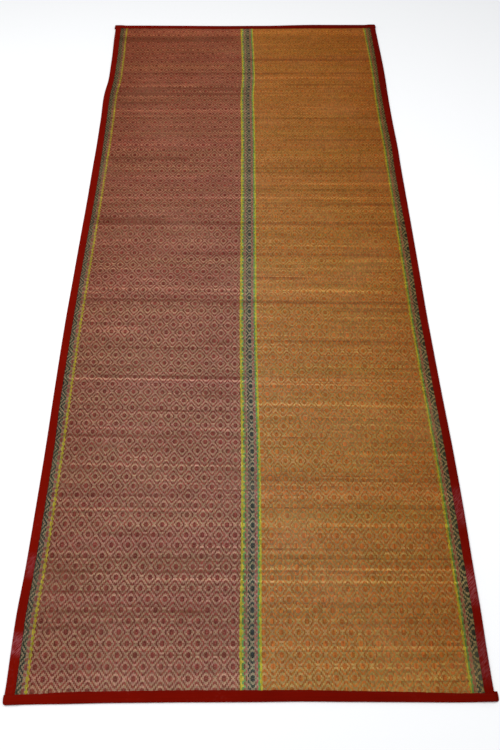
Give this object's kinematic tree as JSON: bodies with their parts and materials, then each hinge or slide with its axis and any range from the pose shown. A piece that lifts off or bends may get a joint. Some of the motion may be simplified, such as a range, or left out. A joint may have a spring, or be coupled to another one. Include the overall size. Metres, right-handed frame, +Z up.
{
  "type": "grass floor mat",
  "caption": "Long flat floor mat woven from dried grass in a lozenge twill, half red and half orange with striped borders, its edges bound with folded dark red cloth tape.",
  "frame": {"origin": "centre of the mat's footprint, on the surface it lies on", "axes": "+Z up out of the mat's face, +Y along its length towards the far end in the picture, +X across its width towards the orange half"},
  "size_m": [0.7726, 1.8362, 0.005],
  "materials": {
    "weave": "dry woven grass with a soft sheen",
    "tape": "matt cotton cloth"
  },
  "bodies": {
    "root": {"woven_mat": "weave", "binding_left": "tape", "binding_right": "tape", "binding_near": "tape", "binding_far": "tape"}
  },
  "joints": []
}
